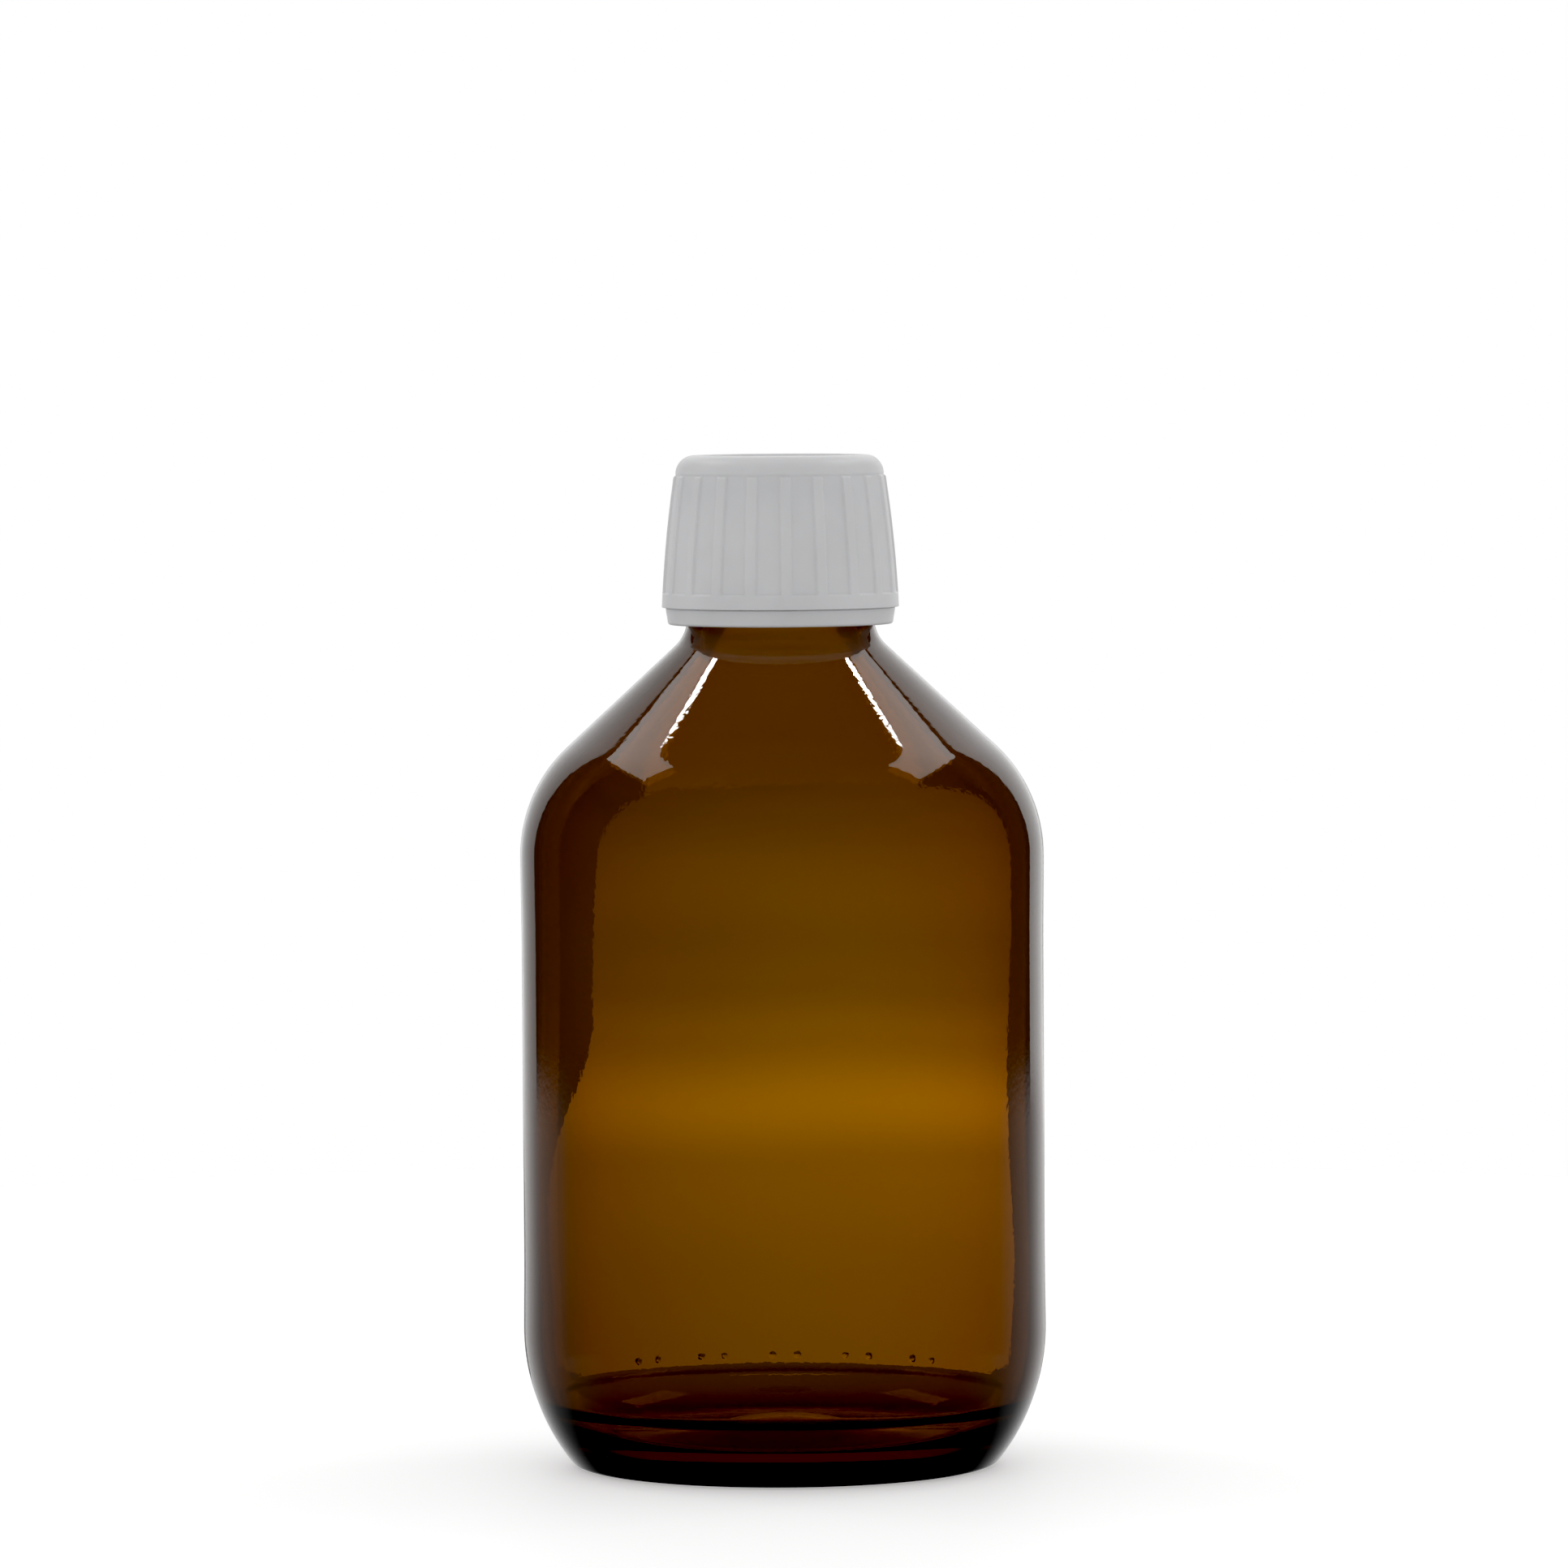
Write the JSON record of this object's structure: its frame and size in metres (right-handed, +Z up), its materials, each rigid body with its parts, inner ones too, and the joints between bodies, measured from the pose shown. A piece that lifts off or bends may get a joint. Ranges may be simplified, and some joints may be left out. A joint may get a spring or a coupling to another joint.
{
  "type": "amber medicine bottle with tamper-evident screw cap",
  "caption": "Round amber glass medicine bottle with a conical shoulder, drip-free pouring ring, ribbed white screw cap and breakaway tamper band.",
  "frame": {"origin": "middle of the surface that the bottle stands on", "axes": "+Z up along the bottle's axis, -Y towards the viewer in the picture, +X to the right"},
  "size_m": [0.0702, 0.0702, 0.1359],
  "materials": {
    "amber_glass": "fire-polished clear amber glass",
    "natural_plastic": "soft milky low-density polyethylene",
    "liner_foam": "fine closed-cell polyethylene foam",
    "white_plastic": "satin moulded polypropylene"
  },
  "bodies": {
    "bottle": {"bottle": "amber_glass", "pour_ring": "natural_plastic"},
    "liner": {"seal_liner": "liner_foam"},
    "cap": {"cap_shell": "white_plastic"},
    "band": {"tamper_band": "white_plastic"}
  },
  "joints": [
    {"name": "cap_lift", "type": "slide", "parent": "bottle", "child": "liner", "axis": [0, 0, 1], "range_m": [0, 0.024]},
    {"name": "cap_turn", "type": "hinge", "parent": "liner", "child": "cap", "pos_m": [0, 0, 0.1316], "axis": [0, 0, 1], "range_deg": [0, 2880]},
    {"name": "band_spin", "type": "hinge", "parent": "bottle", "child": "band", "pos_m": [0, 0, 0.1142], "axis": [0, 0, 1], "continuous": true}
  ],
  "couplings": [
    {"joint": "cap_lift", "follows": "cap_turn", "m_per_rad": 0.00047746}
  ]
}
